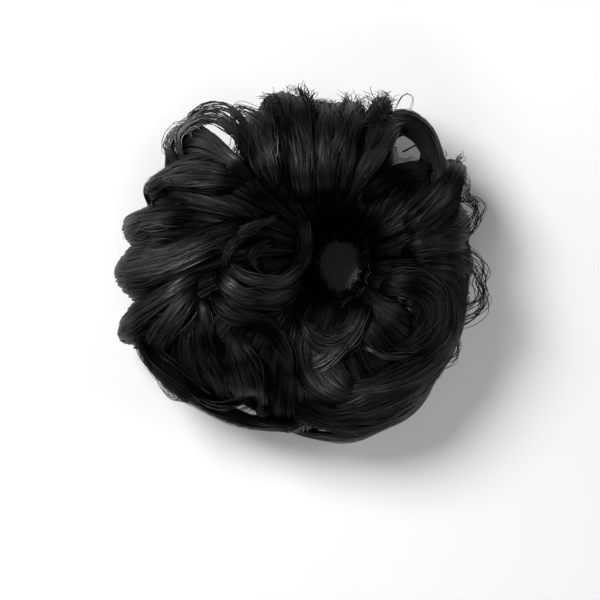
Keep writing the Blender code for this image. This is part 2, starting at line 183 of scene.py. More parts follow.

# Locks that stand clear of the rim: node, level of their underside, thickness, strands, painted
# share of light in their colour, how they are filled (core, open or thin), and points (x, y, width)
LOOPS = [
    ("loop_top_left", 45, 6, 66, 1.2, "open", [
        (-33, 36, 5), (-43, 49, 7), (-48, 60, 8), (-55, 68, 8.5), (-63, 72, 8), (-73, 70.5, 8),
        (-80.5, 65, 7), (-84.5, 58, 6), (-85.5, 48, 4)]),
    ("loop_top_left", 47, 4, 34, 1.3, "open", [
        (-38, 48, 3), (-44, 60, 4), (-50, 71, 4.5), (-58, 77, 4.5), (-68, 76.5, 4.5),
        (-77.5, 70.5, 4), (-84.5, 62, 3)]),
    ("loop_top_left", 36, 10, 150, 1.9, "core", [
        (-44, 40, 5), (-58, 50, 13), (-70, 56.5, 18), (-78.5, 57, 17), (-83, 50, 12),
        (-84, 42, 8)]),
    ("loop_top_left", 41, 7, 64, 1.2, "open", [
        (-60, 60, 5), (-72, 66, 9), (-80, 66, 11), (-86, 59, 9), (-87, 48, 6)]),
    ("loop_top_right", 46, 7.5, 230, 1.8, "core", [
        (1, 28, 4), (9, 40, 8), (15.5, 50, 10), (20.5, 60, 10.5), (26, 67.5, 11), (33, 69.5, 12),
        (41, 63.5, 12), (45.5, 53, 11), (47.5, 42, 9), (46, 32, 5)]),
    ("loop_top_right", 28, 9, 90, 0.35, "core", [
        (10, 28, 5), (20, 37, 9), (30, 43, 10), (43, 45, 9), (50, 44, 4)]),
    ("loop_top_right", 42, 5, 50, 1.1, "core", [
        (38, 67, 3), (42, 60, 5), (43, 51, 6), (38, 43, 6), (28, 39, 4)]),
    ("loop_top_right", 44, 10, 24, 1.0, "thin", [
        (12, 44, 8), (18, 59, 13), (27, 69, 16), (38, 68, 16), (46, 56, 15), (48, 42, 9)]),
    ("loop_top_right", 42, 1, 3, 1.0, "thin", [
        (26, 71, 0.6), (29.3, 79.3, 0.6), (32.8, 84.5, 0.6), (37, 82.5, 0.6), (35.4, 73, 0.6)]),
    ("loop_bottom_left", 28, 11, 170, 1.0, "core", [
        (-102, -36, 8), (-93, -50, 13), (-80, -61, 14), (-68, -70, 12), (-57, -77, 9),
        (-47, -80.5, 8), (-37, -82, 8), (-26, -82, 7), (-18, -80, 6)]),
    ("loop_bottom_left", 22, 16, 30, 0.9, "thin", [
        (-102, -30, 9), (-93, -46, 14), (-80, -58, 15), (-67, -68, 14), (-55, -75, 12),
        (-40, -80, 9)]),
]

# Loose strands that bow out past the rim: node, first and last angle, strands, how far out they
# reach, and the ways where they start
WISPS = [
    ("loop_top_left", 139, 114, 34, 6.0, 0.6, 0.8),
    ("loop_right_upper", 39, 8, 26, 8.5, 0.66, 0.9),
    ("loop_right_lower", 11, -34, 32, 9.0, 0.66, 0.9),
    ("loop_right_lower", -26, -50, 14, 1.5, 0.7, 0.92),
    ("loop_bottom_left", 206, 244, 14, 5.0, 0.75, 0.95),
]

# Frizz along the rim: node, first and last angle, strands, length in millimetres and curl
FRIZZ = [
    ("lock_crown_right", 68, 79, 200, 14, 3.2),
    ("lock_crown_middle", 78, 94, 220, 14, 2.4),
    ("lock_crown_left", 94, 107, 200, 13, 2.0),
    ("lock_fan_inner", 104, 119, 150, 13, 1.8),
    ("lock_top_right", 47, 53, 8, 9, 1.6),
    ("lock_right_shoulder", 25, 47, 60, 10, 1.4),
    ("lock_lower_right", -60, -36, 24, 8, 1.5),
]

# Painted shade and painted highlights in the hair's colour, where it lies deeper or catches more
# light: from x, y to x, y, how far round, and the share of light painted on or taken off
PAINTED_SHADE_AND_HIGHLIGHTS = [
    (-84, 62, -53, 74, 9, 0.7), (32, 70, 43, 63, 7, 1.9), (-84, 48, -76, 60, 6, 0.7),
    (-28, 80, -18, 79, 7, -0.5), (-25, 66, -20, 58, 7, -0.5), (-14, 47, 8, 45, 9, -0.3),
    (-43, 54, -41, 52, 6, -0.3), (-64, 50, -52, 45, 7, -0.5), (-83, 7, -38, 25, 4.5, -0.3),
    (-70, -18, -60, -23, 8, -0.5), (-98, 0, -80, -18, 10, 0.6), (-84, -4, -76, -1, 5, 0.5),
    (-97, 14, -94, 13, 6, 1.2), (-106, -28, -105, -29, 5, 0.6), (28, -12, 50, -19, 7, -0.45),
    (33, -44, 55, -32, 6, -0.3), (-7, -56, 5, -67, 8, 0.6), (-16, -60, 6, -68, 6, 0.9),
    (-45, -78, 20, -82, 6, -0.4), (-40, -32, -39, -33, 5, -0.4), (13, -14, 28, -19, 6, 0.35),
    (23, 19, 25, 1, 6, 0.35), (-56, -67, -42, -84, 6, -0.3), (0, 13, 2, 10, 6, -0.3),
    (-26.8, 56, -26.8, 31, 2.2, -0.7), (-80, 21, -70, 17, 5, -0.7), (-66, 12, -52, 10, 3, -0.5),
    (-64, 3, -60, -10, 4, -0.6), (-40, 8, -34, 4, 8, -0.35), (-28, -22, -22, -33, 4, -0.6),
    (-38, -32, -26, -44, 5, -0.5), (-50, -46, -34, -62, 9, -0.3), (-21, -54, -19, -60, 4, -0.5),
    (-30, -68, -14, -76, 5, -0.35), (-112, 5, -108, -19, 8, -0.65), (42, -72, 52, -58, 6, 0.5),
    (-43, 34, -27, 29, 6, -0.55), (-5, 28, 8, 14, 10, -0.55), (18, 45, 36, 37, 6, -0.5),
    (-68, -9, -67, -14, 4.5, -0.8), (-80, -8, -76, -14, 5, 0.7), (-47, -33, -34, -36, 6, -0.65),
    (-56, -37, -53, -39, 5, 0.5), (18, 46, 27, 58, 5, 0.5), (-56, -7, -55, -12, 4, 0.5),
    (52, -24, 57, -45, 7, 0.8), (-42, -81, -32, -83, 5, 0.8), (15, -9, 24, -14, 6, 0.7),
    (-3, -20, 4, -26, 6, 0.7), (-52, 76, -44, 62, 7, 0.25), (-103, -3, -102, -5, 5, 0.5),
    (-45, 56, -39, 50, 5, -0.3), (-6, 56, 16, 50, 7, -0.3), (-110, -34, -102, -41, 5, -0.5),
    (-86, 10, -79, 7, 5, -0.3), (10, 58, 11, 50, 4, -0.4), (-75, -23, -72, -36, 5, -0.3),
    (61, 40, 67, 12, 7, -0.7), (30, 8, 34, -9, 7, -0.55), (24, -22, 29, -27, 5, -0.35),
    (-25, -82, -21, -88, 6, -0.6), (32, -78, 46, -70, 6, 0.5), (8, -33, 9, -34, 4, -0.35),
    (-14, -33, -13, -35, 4, -0.35), (-48, -7, -44, -10, 4, -0.3), (-46, 18, -40, 20, 5, -0.3),
    (-88, 25, -84, 25, 4, -0.3), (38, 42, 44, 36, 6, 1.2),
]

SIDES = 3  # of a strand's tube
STRAND = 0.46  # half width of a strand, which is a fine tress of many hairs
FLATNESS = 0.16  # a strand's thickness as a share of its width
LOOP_STRANDS = {"core": (STRAND, FLATNESS), "open": (0.33, 0.5), "thin": (0.2, 0.8)}
FRIZZ_STRAND = 0.21, 0.8  # half width and flatness of the loose curly strands
WISP_STRAND = 0.2, 0.8
THROAT_STRAND, FLYAWAY_STRAND = 0.34, 0.16  # half widths
SEGMENT, LOOP_SEGMENT = 5.7, 4.2  # length of a strand's pieces on a top lock and on a loop
WRAP_GROUPS = 13  # tresses across a wrapping lock
WRAP_LENGTH = 110  # of a wrapping lock for each whole way
WRAP_WAYS = -0.36, 1.57  # from where to where the wrapping locks' cores go
WRAP_CORE, LOOP_CORE = 0.72, 0.74  # a core's size as a share of its lock's
WRAP_CORE_TONE, TOP_CORE_TONE = 0.42, 0.4
WRAP_SEED, TOP_SEED = 100, 300
OVER_WAY = 1.36  # where the locks that go over the rim end
LOWEST = 0.2
CORE_LOWEST = (-np.inf, -np.inf, LOWEST + 1.0)  # the strands underneath cover the cores


def smooth(start, end, value):
    share = np.clip((value - start) / (end - start), 0, 1)
    return share * share * (3 - 2 * share)


def bell(value):
    return np.exp(-(value**2))


def turn_from(middle, angle):
    """Degrees from the middle angle to this one, from -180 to 180."""
    return (np.degrees(angle) - middle + 180) % 360 - 180


def rim_radius(angle):
    """Inner hair's outer radius: a ray out to its oval, less the dents."""
    half_x, half_y = PAD_WIDTH / 2, PAD_DEPTH / 2
    across = np.cos(angle) / half_x, np.sin(angle) / half_y
    centre = PAD_CENTRE[0] / half_x, PAD_CENTRE[1] / half_y
    along = across[0] * centre[0] + across[1] * centre[1]
    square = across[0] ** 2 + across[1] ** 2
    beyond = centre[0] ** 2 + centre[1] ** 2 - 1
    radius = (along + np.sqrt(along**2 - square * beyond)) / square
    for middle, deep, half in DENTS:
        radius = radius - deep * bell(turn_from(middle, angle) / half)
    return radius


def middle_radius(angle):
    half_x, half_y = MIDDLE_WIDTH / 2, MIDDLE_DEPTH / 2
    return half_x * half_y / np.hypot(half_y * np.cos(angle), half_x * np.sin(angle))


def place(angle, way, lift):
    """Points at these angles (radians), ways and lifts, in millimetres from the middle's centre."""
    inner, outer = middle_radius(angle), rim_radius(angle)
    across, up = np.cos(np.pi * way), np.sin(np.pi * way)
    square = np.where(up > 0, 1.0, UNDERSIDE_SQUARENESS)
    rise = np.where(up > 0, PAD_RISE, PAD_DROP)
    reach = np.sign(across) * np.abs(across) ** square
    radius = (inner + outer) / 2 - ((outer - inner) / 2 + lift) * reach
    height = PAD_LEVEL + (rise + lift) * np.sign(up) * np.abs(up) ** square
    return np.stack([radius * np.cos(angle), radius * np.sin(angle), height], -1)


def outward(points):
    """Direction out from the ring's core at these points."""
    angle = np.arctan2(points[..., 1], points[..., 0])
    core = (middle_radius(angle) + rim_radius(angle)) / 2
    core = np.stack([core * np.cos(angle), core * np.sin(angle), np.full_like(core, PAD_LEVEL)], -1)
    return unit(points - core)


def unit(vectors):
    return vectors / np.maximum(np.linalg.norm(vectors, axis=-1, keepdims=True), 1e-9)


def wrap_thickness(crest, bulge, way):
    top = ROOT_THICK + (crest - ROOT_THICK) * smooth(-0.05, 0.45, way)
    full = top + (bulge - crest) * smooth(0.55, 0.98, way)
    return full + (UNDER_THICK - full) * smooth(1.0, 1.38, way)


def wrap_side(index, way):
    """Clockwise side of a wrapping lock at these ways, in degrees."""
    _, root, rim, _, _ = WRAPS[index % len(WRAPS)]
    turn = 360 * (index // len(WRAPS))
    return root + (rim - root) * smooth(0.0, 0.85, way) + turn


def crown(across, way=0.0):
    """Share of a lock's thickness across it. The valleys between locks are deeper at the rim."""
    inner = np.clip(1 - across**2, 0, 1)
    full = EDGE_SHARE + (1 - EDGE_SHARE) * np.sqrt(inner)
    rim = smooth(0.55, 0.9, way) * (1 - smooth(1.2, 1.45, way))
    return full * (1 - rim) + (0.02 + 0.98 * inner**0.8) * rim


def notches(angle, way):
    """How far the hair is drawn in where the photograph shows light between the locks."""
    total = 0.0
    for middle, deep, half in NOTCHES:
        total = total + deep * bell(turn_from(middle, angle) / half)
    return total * smooth(0.6, 0.85, way) * (1 - smooth(1.2, 1.45, way))


GRID_ANGLES, GRID_WAYS = 720, 221
grid_way = np.linspace(-0.5, 1.7, GRID_WAYS)


def wrap_lifts():
    """Lift of the wrapping locks' outer face over a grid of angles and ways, a little smoothed."""
    grid = np.zeros((GRID_ANGLES, GRID_WAYS))
    degrees = np.arange(GRID_ANGLES) * 360 / GRID_ANGLES
    for column, way in enumerate(grid_way):
        sides = np.array([wrap_side(i, way) for i in range(len(WRAPS) + 1)])
        at = (degrees - sides[0]) % 360 + sides[0]
        index = np.clip(np.searchsorted(sides, at, side="right") - 1, 0, len(WRAPS) - 1)
        across = (at - sides[index]) / (sides[index + 1] - sides[index]) * 2 - 1
        thick = np.array([wrap_thickness(w[3], w[4], way) for w in WRAPS])[index]
        grid[:, column] = LOCK_SEAT + thick * crown(across, way)
        grid[:, column] -= notches(np.radians(degrees), way)
    return grid


def blurred(grid, reach, spread):
    """Grid averaged over the angles beside each one."""
    shifts = np.arange(-reach, reach + 1)
    parts = bell(shifts / spread)
    return sum(np.roll(grid, shift, 0) * part for shift, part in zip(shifts, parts / parts.sum()))


grid_lift = blurred(wrap_lifts(), 8, 2.5)
ridges = np.maximum.reduce([np.roll(grid_lift, shift, 0) for shift in range(-12, 13, 4)])
grid_bridge = (blurred(ridges, 24, 12) + blurred(grid_lift, 24, 12)) / 2


def lift_at(angle, way, grid_lift=grid_lift):
    """The wrapping locks' outer face at any angle and way, or the face that bridges them."""
    row = (angle / (2 * np.pi) * GRID_ANGLES) % GRID_ANGLES
    column = np.clip((way + 0.5) / 2.2 * (GRID_WAYS - 1), 0, GRID_WAYS - 1.001)
    i, j = row.astype(int), column.astype(int)
    a, b = row - i, column - j
    k = (i + 1) % GRID_ANGLES
    i = i % GRID_ANGLES
    low = grid_lift[i, j] * (1 - a) + grid_lift[k, j] * a
    high = grid_lift[i, j + 1] * (1 - a) + grid_lift[k, j + 1] * a
    return low * (1 - b) + high * b


def painted_shade_and_light(points):
    """Painted light at these points: painted shade and highlights from the table above."""
    total = np.ones(points.shape[:-1])
    for x0, y0, x1, y1, reach, gain in PAINTED_SHADE_AND_HIGHLIGHTS:
        along = np.array([x1 - x0, y1 - y0])
        offset = points[..., :2] - (x0, y0)
        share = np.clip(offset @ along / (along @ along), 0, 1)
        away = ((offset - share[..., None] * along) ** 2).sum(-1)
        total = total * (1 + gain * np.exp(-away / reach**2) * smooth(10, 38, points[..., 2]))
    return np.maximum(total, 0.08)


def spline(points, count):
    """Smooth curve through rows of numbers."""
    points = np.asarray(points, float)
    rows = np.vstack([2 * points[0] - points[1], points, 2 * points[-1] - points[-2]])
    at = np.linspace(0, len(points) - 1, count)
    span = np.minimum(at.astype(int), len(points) - 2)
    t = (at - span)[:, None]
    a, b, c, d = (rows[span + k] for k in range(4))
    curve = (c - a) * t + (2 * a - 5 * b + 4 * c - d) * t**2 + (3 * b - a - 3 * c + d) * t**3
    return b + curve / 2


def evened(columns, points, count):
    """The columns at places evenly spaced along the points, and the whole length."""
    steps = np.linalg.norm(np.diff(points, axis=0), axis=1)
    along = np.concatenate([[0], np.cumsum(steps)])
    at = np.linspace(0, along[-1], count)
    return [np.interp(at, along, column) for column in columns], along[-1]


def top_way(angle, radius, lift):
    """Way of the top face at this radius."""
    inner, outer = middle_radius(angle), rim_radius(angle)
    across = ((inner + outer) / 2 - radius) / ((outer - inner) / 2 + lift)
    return np.arccos(np.clip(across, -0.995, 0.995)) / np.pi


class Bundle:
    """Points and faces of one piece, gathered from many strands and shells."""

    def __init__(self):
        self.points, self.uvs, self.tones_and_painted_light = [], [], []
        self.quads, self.triangles = [], []
        self.count = 0

    def add(self, points, uv, tone_and_painted_light, quads, triangles):
        self.points.append(points.reshape(-1, 3))
        self.uvs.append(uv.reshape(-1, 2))
        self.tones_and_painted_light.append(tone_and_painted_light.reshape(-1))
        self.quads.append(quads.reshape(-1, 4) + self.count)
        self.triangles.append(triangles.reshape(-1, 3) + self.count)
        self.count += len(self.points[-1])

    def tubes(self, rng, points, share, tone_and_painted_light, length, size=STRAND, flatness=FLATNESS):
        """Strands along rows of points: closed tubes, thinner where the share nears 0 and 1."""
        strands, rows = points.shape[:2]
        ends = 0.35 + 0.65 * np.sin(np.pi * np.clip(share, 0, 1)) ** 0.4
        radius = rng.uniform(0.75, 1.2, strands)[:, None] * size * ends
        shift = rng.uniform(0, 900, strands)  # so that no two strands have the same streaks
        length = np.broadcast_to(length, strands)
        points = points.copy()
        points[..., 2] = np.maximum(points[..., 2], LOWEST + radius)
        # painted shade and painted highlights laid into the strands' colour
        tone_and_painted_light = tone_and_painted_light * painted_shade_and_light(points)
        tangent = unit(np.gradient(points, axis=1))
        side = unit(np.cross(tangent, outward(points)))
        up = np.cross(side, tangent)
        turn = np.arange(SIDES) * 2 * np.pi / SIDES + np.pi / 2
        ring = side[:, :, None] * np.cos(turn)[:, None]
        ring = ring + up[:, :, None] * np.sin(turn)[:, None] * flatness
        corners = points[:, :, None] + ring * radius[:, :, None, None]
        uv = np.zeros((strands, rows, SIDES, 2))
        uv[..., 0] = (np.linspace(0, 1, rows) * length[:, None])[:, :, None]
        uv[..., 0] += shift[:, None, None] * 7
        uv[..., 1] = shift[:, None, None] + np.arange(SIDES) / SIDES * 0.7
        tones_and_painted_light = np.repeat(tone_and_painted_light[:, :, None], SIDES, 2)
        first = (np.arange(strands) * rows * SIDES)[:, None, None]
        row = (np.arange(rows - 1) * SIDES)[None, :, None]
        k = np.arange(SIDES)[None, None]
        j = (k + 1) % SIDES
        quads = np.stack([first + row + k, first + row + SIDES + k,
                          first + row + SIDES + j, first + row + j], -1)
        start = first[:, 0] + np.array([0, 1, 2])
        end = first[:, 0] + (rows - 1) * SIDES + np.array([0, 2, 1])
        self.add(corners, uv, tones_and_painted_light, quads, np.stack([start, end]))

    def shell(self, rings, tone_and_painted_light, closed=False):
        """Smooth solid through rings of points."""
        rows, columns = rings.shape[:2]
        index = np.arange(rows * columns).reshape(rows, columns)
        following = np.roll(index, -1, 1)
        last = rows if closed else rows - 1
        after = np.roll(index, -1, 0)[:last]
        quads = np.stack([index[:last], following[:last], np.roll(after, -1, 1), after], -1)
        points = rings.reshape(-1, 3)
        along = np.linalg.norm(np.diff(rings, axis=0), axis=-1).mean(1)
        u = np.concatenate([[0], np.cumsum(along)])
        around = np.linalg.norm(np.diff(rings, axis=1), axis=-1).mean(0)
        v = np.concatenate([[0], np.cumsum(around)])
        uv = np.stack(np.meshgrid(u, v, indexing="ij"), -1)
        tones_and_painted_light = np.broadcast_to(tone_and_painted_light, (rows, columns)).copy()
        quads = quads.reshape(-1, 4)
        a, b, c, d = (points[quads[:, k]] for k in range(4))
        volume = (np.cross(a, b) * c).sum() + (np.cross(a, c) * d).sum()
        triangles = np.zeros((0, 3), int)
        if not closed:
            ends = np.stack([rings[0].mean(0), rings[-1].mean(0)])
            centre = rows * columns
            points = np.vstack([points, ends])
            uv = np.vstack([uv.reshape(-1, 2), uv[0, 0][None], uv[-1, 0][None]])
            tones_and_painted_light = np.concatenate([tones_and_painted_light.reshape(-1), [tones_and_painted_light[0, 0], tones_and_painted_light[-1, 0]]])
            head = np.stack([following[0], index[0], np.full(columns, centre)], -1)
            tail = np.stack([index[-1], following[-1], np.full(columns, centre + 1)], -1)
            triangles = np.vstack([head, tail])
        if volume < 0:
            quads, triangles = quads[:, ::-1], triangles[:, ::-1]
        self.add(points, uv, tones_and_painted_light, quads, triangles)

    def piece(self, name, material):
        points = (np.vstack(self.points) + MIDDLE) * MM
        quads, triangles = np.vstack(self.quads), np.vstack(self.triangles)
        corners = np.concatenate([quads.reshape(-1), triangles.reshape(-1)])
        starts = np.concatenate([np.arange(len(quads)) * 4,
                                 len(quads) * 4 + np.arange(len(triangles)) * 3])
        mesh = bpy.data.meshes.new(name)
        mesh.vertices.add(len(points))
        mesh.vertices.foreach_set("co", points.astype(np.float32).reshape(-1))
        mesh.loops.add(len(corners))
        mesh.loops.foreach_set("vertex_index", corners.astype(np.int32))
        mesh.polygons.add(len(starts))
        mesh.polygons.foreach_set("loop_start", starts.astype(np.int32))
        mesh.update(calc_edges=True)
        uv = np.vstack(self.uvs)[corners]
        mesh.uv_layers.new(name="UVMap").data.foreach_set("uv", uv.astype(np.float32).reshape(-1))
        tone_and_painted_light = mesh.attributes.new("tone_and_painted_light", "FLOAT", "POINT")
        tone_and_painted_light.data.foreach_set("value", np.concatenate(self.tones_and_painted_light).astype(np.float32))
        mesh.materials.append(material)
        mesh.shade_smooth()
        mesh.set_sharp_from_angle(angle=math.radians(75))
        piece = bpy.data.objects.new(name, mesh)
        bpy.context.scene.collection.objects.link(piece)
        return piece


def waves(rng, groups, along, low, high, shortest, longest):
    """A side-to-side wave for each strand: along is in millimetres."""
    size = rng.uniform(low, high, len(groups))[groups][:, None]
    span = rng.uniform(shortest, longest, len(groups))[groups][:, None]
    phase = rng.uniform(0, 2 * np.pi, len(groups))[groups][:, None]
    return size * np.sin(2 * np.pi * along / span + phase)


def varied(rng, tone_and_painted_light, groups, kinds, along, fine):
    """Tone varied between tresses, between strands and along each strand."""
    tone_and_painted_light = tone_and_painted_light * rng.uniform(0.72, 1.22, kinds)[groups][:, None]
    tone_and_painted_light = tone_and_painted_light * rng.uniform(0.88, 1.12, len(groups))[:, None]
    broad = waves(rng, groups, along, 0.1, 0.4, 18, 50)
    return tone_and_painted_light * (1 + broad + waves(rng, np.arange(len(groups)), along, 0.05, fine, 8, 25))


def throat_bulge(least, angle):
    """How far the hair bulges into the open middle, most on the crown's side."""
    return least + 4.0 * bell(turn_from(90, angle) / 45) + 0.5 * np.sin(angle * 5 + 1)


def near_root(way):
    """1 where the hair turns down into the open middle, less away from there."""
    return bell((way - 0.06) / 0.2)


def wrap_core(bundle, index):
    """Filled core of one wrapping lock, thinner underneath so that its strands cover it."""
    _, _, _, crest, bulge = WRAPS[index]
    over = np.linspace(-1, 1, 9)
    rings = []
    for way in np.linspace(*WRAP_WAYS, 34):
        low, high = np.radians(wrap_side(index, way)), np.radians(wrap_side(index + 1, way))
        middle, half = (low + high) / 2, (high - low) / 2 * 1.02
        thick = wrap_thickness(crest, bulge, way)
        drawn = notches(middle + half * over, way)
        core = WRAP_CORE - 0.42 * smooth(0.98, 1.3, way)
        lift = LOCK_SEAT + thick * crown(over, way) * core - drawn
        top = place(middle + half * over, np.full(9, way), lift)
        seat = place(middle + half * over[::-2], np.full(5, way), LOCK_SEAT - 0.6 - drawn[::-2])
        rings.append(np.vstack([top, seat]))
    bundle.shell(np.maximum(np.array(rings), CORE_LOWEST), WRAP_CORE_TONE)


def wrap_strands(bundle, index, rng, count=80, rows=24):
    """Strands of one wrapping lock."""
    _, _, _, crest, bulge = WRAPS[index]
    groups = np.sort(rng.integers(0, WRAP_GROUPS, count))
    spot = np.linspace(-0.96, 0.96, WRAP_GROUPS) + rng.normal(0, 0.05, WRAP_GROUPS)
    across = np.clip(spot[groups] + rng.normal(0, 0.06, count), -1.04, 1.04)
    early = rng.random(count) < 0.35
    start = np.where(early, rng.uniform(-0.42, -0.3, count), rng.uniform(-0.2, 0.55, count))
    late = rng.random(count) < 0.55
    end = np.where(late, rng.uniform(1.45, 1.58, count), rng.uniform(1.2, 1.45, count))
    share = np.linspace(0, 1, rows)[None]
    way = start[:, None] + (end - start)[:, None] * share
    low, high = np.radians(wrap_side(index, way)), np.radians(wrap_side(index + 1, way))
    middle, half = (low + high) / 2, (high - low) / 2
    span = half * np.hypot(*np.moveaxis(place(middle, way, 5.0), -1, 0)[:2])  # half width, mm
    along = way * WRAP_LENGTH
    beside = (waves(rng, groups, along, 0.3, 0.9, 26, 60)
              + waves(rng, np.arange(count), along, 0.1, 0.35, 14, 40)) / np.maximum(span, 4)
    v = across[:, None] + beside * smooth(0, 0.2, share)
    full = wrap_thickness(crest, bulge, way) * crown(np.clip(v, -1, 1), way)
    ridge = rng.uniform(-0.5, 0.35, WRAP_GROUPS)[groups]
    ridge = (ridge - 0.2 * ((across - spot[groups]) / 0.08) ** 2)[:, None]
    body = LOCK_SEAT + full * rng.uniform(0.82, 1.0, count)[:, None]
    lift = body + ridge * smooth(0.1, 0.5, way) + waves(rng, groups, along, 0.1, 0.35, 30, 70)
    lift = lift - 1.6 * (1 - smooth(0, 0.12, share)) - 1.6 * smooth(0.88, 1, share)
    bulges = throat_bulge(1.4, middle) + rng.uniform(-0.4, 0.4, WRAP_GROUPS)[groups][:, None]
    lift = np.maximum(lift + bulges * near_root(way), 0.6)
    points = place(middle + half * v, way, lift - notches(middle + half * v, way))
    # Painted shade at the roots and the lock's sides, and a painted highlight towards the rim
    tone_and_painted_light = 0.1 + 0.5 * smooth(0.08, 0.42, way) + 0.3 * smooth(0.7, 0.95, way)
    tone_and_painted_light = tone_and_painted_light * (0.25 + 0.75 * crown(np.clip(v, -1, 1)) ** 1.5)
    tone_and_painted_light = varied(rng, tone_and_painted_light, groups, WRAP_GROUPS, along, 0.25)
    bundle.tubes(rng, points, share, tone_and_painted_light, (end - start) * WRAP_LENGTH)


class Path:
    """The middle line of a top lock on the ring's face, and how to step aside from it."""

    def __init__(self, points, height, over):
        dense = spline(points, 200)
        x, y, width = dense.T
        angle, radius = np.unwrap(np.arctan2(y, x)), np.hypot(x, y)
        way = np.full_like(angle, 0.5)
        grid = grid_lift if over else grid_bridge
        for _ in range(4):
            way = top_way(angle, radius, lift_at(angle, way, grid) + height * 0.5)
        if over:
            more = np.linspace(0, 1, 50)[1:]
            slope = (angle[-1] - angle[-30]) / (way[-1] - way[-30] + 1e-3)
            slope = np.clip(slope, -1.2, 1.2) * 0.4
            further = way[-1] + (OVER_WAY - way[-1]) * more
            turned = angle[-1] + slope * (further - way[-1]) * (1 - more * 0.5)
            angle = np.concatenate([angle, turned])
            width = np.concatenate([width, width[-1] * (1 - 0.45 * more)])
            way = np.concatenate([way, further])
        at = np.linspace(0, 1, len(width))
        width = width * (0.3 + 0.7 * smooth(0, 0.22, at))
        if not over:
            width = width * (1 - 0.85 * smooth(0.6, 1.0, at))
        lift = lift_at(angle, way, grid) + height
        spots = place(angle, way, lift)
        (angle, way, width), self.length = evened([angle, way, width], spots, 60)
        self.share = np.linspace(0, 1, 60)
        lift = lift_at(angle, way, grid) + height * 0.7
        small = 1e-3
        turn = (place(angle + small, way, lift) - place(angle - small, way, lift)) / (2 * small)
        step = (place(angle, way + small, lift) - place(angle, way - small, lift)) / (2 * small)
        normal = unit(np.cross(turn, step))
        out = place(angle, way, lift + 1) - place(angle, way, lift)
        normal *= np.sign((normal * out).sum(-1, keepdims=True))
        along = unit(np.gradient(place(angle, way, lift), axis=0))
        aside = unit(np.cross(normal, along))
        aa, ab, bb = (turn * turn).sum(-1), (turn * step).sum(-1), (step * step).sum(-1)
        ra, rb = (turn * aside).sum(-1), (step * aside).sum(-1)
        whole = aa * bb - ab * ab
        self.columns = [angle, way, width, (ra * bb - rb * ab) / whole, (rb * aa - ra * ab) / whole]

    def at(self, share):
        return [np.interp(share, self.share, column) for column in self.columns]


def mound(across):
    """Height across a top lock, from -1 to 1."""
    return np.clip(1 - np.abs(across) ** 2.3, 0, 1) ** 0.55


def lock_points(path, share, across, height, over, extra=0.0, beside=0.0):
    """Points on a top lock: share along it, across it from -1 to 1, both over all its strands."""
    angle, way, width, turn, step = path.at(share)
    aside = across * width / 2 + beside
    own_angle, own_way = angle + turn * aside, way + step * aside
    rim = smooth(0.72, 0.98, way)
    own = 0.5 + 0.5 * rim
    grid = grid_lift if over else grid_bridge
    base = (1 - own) * lift_at(angle, way, grid) + own * lift_at(own_angle, own_way, grid)
    full = height * np.minimum(1, 0.35 + width / 12)
    if over:
        full = full * (1 - 0.7 * rim)
        base = base - 0.8 * rim
    sink = (full + 3.0) * (1 - smooth(0.0, 0.24, share))
    if not over:
        sink = (full + 4.5) * (1 - smooth(0.0, 0.24, share) + smooth(0.74, 1.0, share))
    lift = base + full * mound(np.clip(across, -1, 1)) - sink + extra
    least = 0.3 - notches(own_angle, own_way)
    return place(own_angle, own_way, np.maximum(lift, least))


def top_core(bundle, path, height, over):
    """Filled core of a lock laid over the others."""
    rings = []
    across = np.array([-1, -0.85, -0.55, -0.2, 0.2, 0.55, 0.85, 1])
    for share in np.linspace(0.03, 0.99, max(12, int(path.length / 4))):
        shares = np.full(8, share)
        top = lock_points(path, shares, across * 0.97, height * 0.8, over, -0.5)
        seat = lock_points(path, shares[:4], across[::-2] * 0.9, 0.0, over, -2.2)
        rings.append(np.vstack([top, seat]))
    bundle.shell(np.maximum(np.array(rings), CORE_LOWEST), TOP_CORE_TONE)


